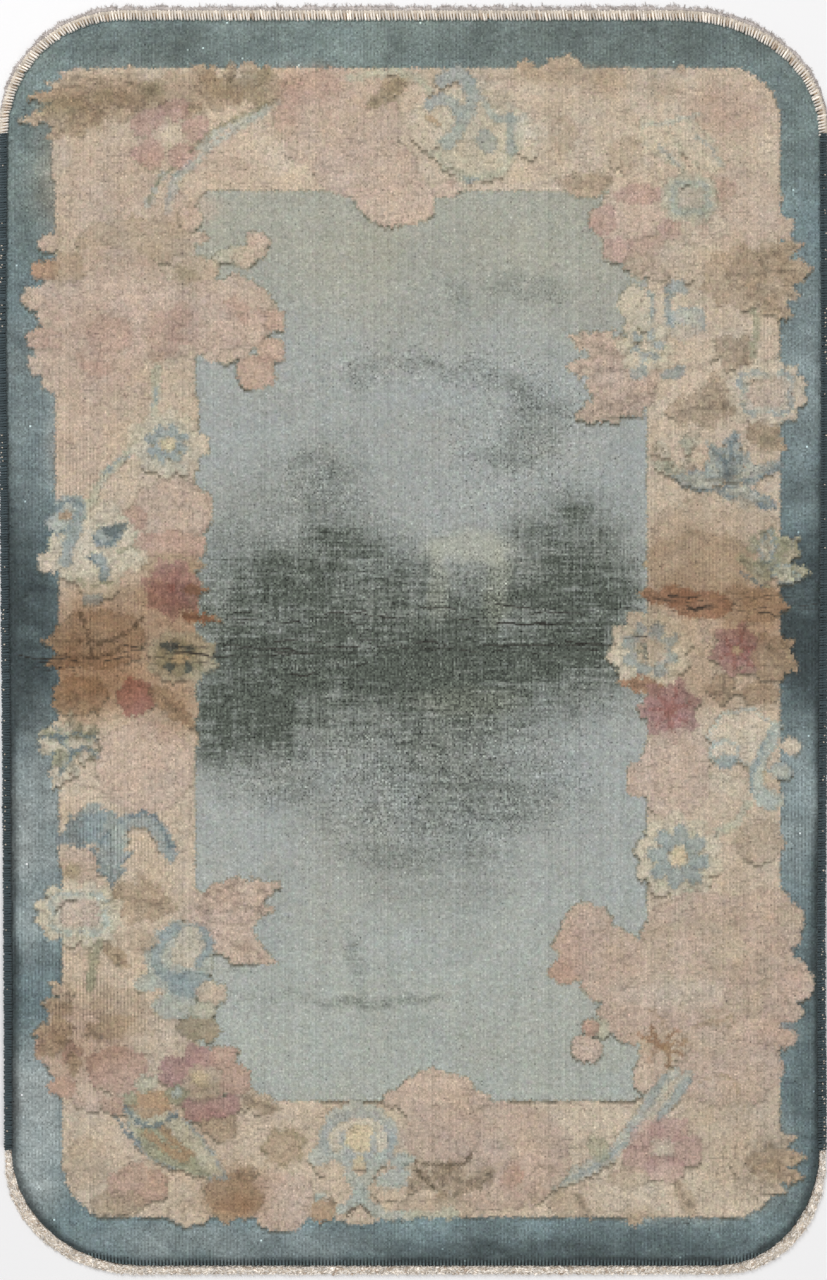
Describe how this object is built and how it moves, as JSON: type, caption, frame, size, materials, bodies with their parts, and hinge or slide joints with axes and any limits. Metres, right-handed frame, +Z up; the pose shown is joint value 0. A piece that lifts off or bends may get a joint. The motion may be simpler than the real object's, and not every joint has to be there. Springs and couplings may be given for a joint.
{
  "type": "hand-knotted floral rug",
  "caption": "Flat hand-knotted wool rug with rounded corners, a flower and leaf border round a plain field, and overcast edges; lies on a floor.",
  "frame": {"origin": "middle of the rug's footprint, on the floor", "axes": "+X across the rug, +Y along it towards the overcast end, +Z up out of the pile"},
  "size_m": [0.9266, 1.4182, 0.009],
  "materials": {
    "wool_pile": "worn cut wool pile, blue field and border with cream and pink flowers",
    "ivory_yarn": "ivory yarn whip stitches",
    "frayed_cotton": "frayed greyish cotton",
    "ivory_web": "plain-woven ivory cotton",
    "dark_wool": "dark blue wool overcasting"
  },
  "bodies": {
    "root": {"rug": "wool_pile", "end_overcast_top": "ivory_yarn", "frayed_web_top": "frayed_cotton", "end_web_bottom": "ivory_web", "selvedge_left": "dark_wool", "selvedge_right": "dark_wool"}
  },
  "joints": []
}
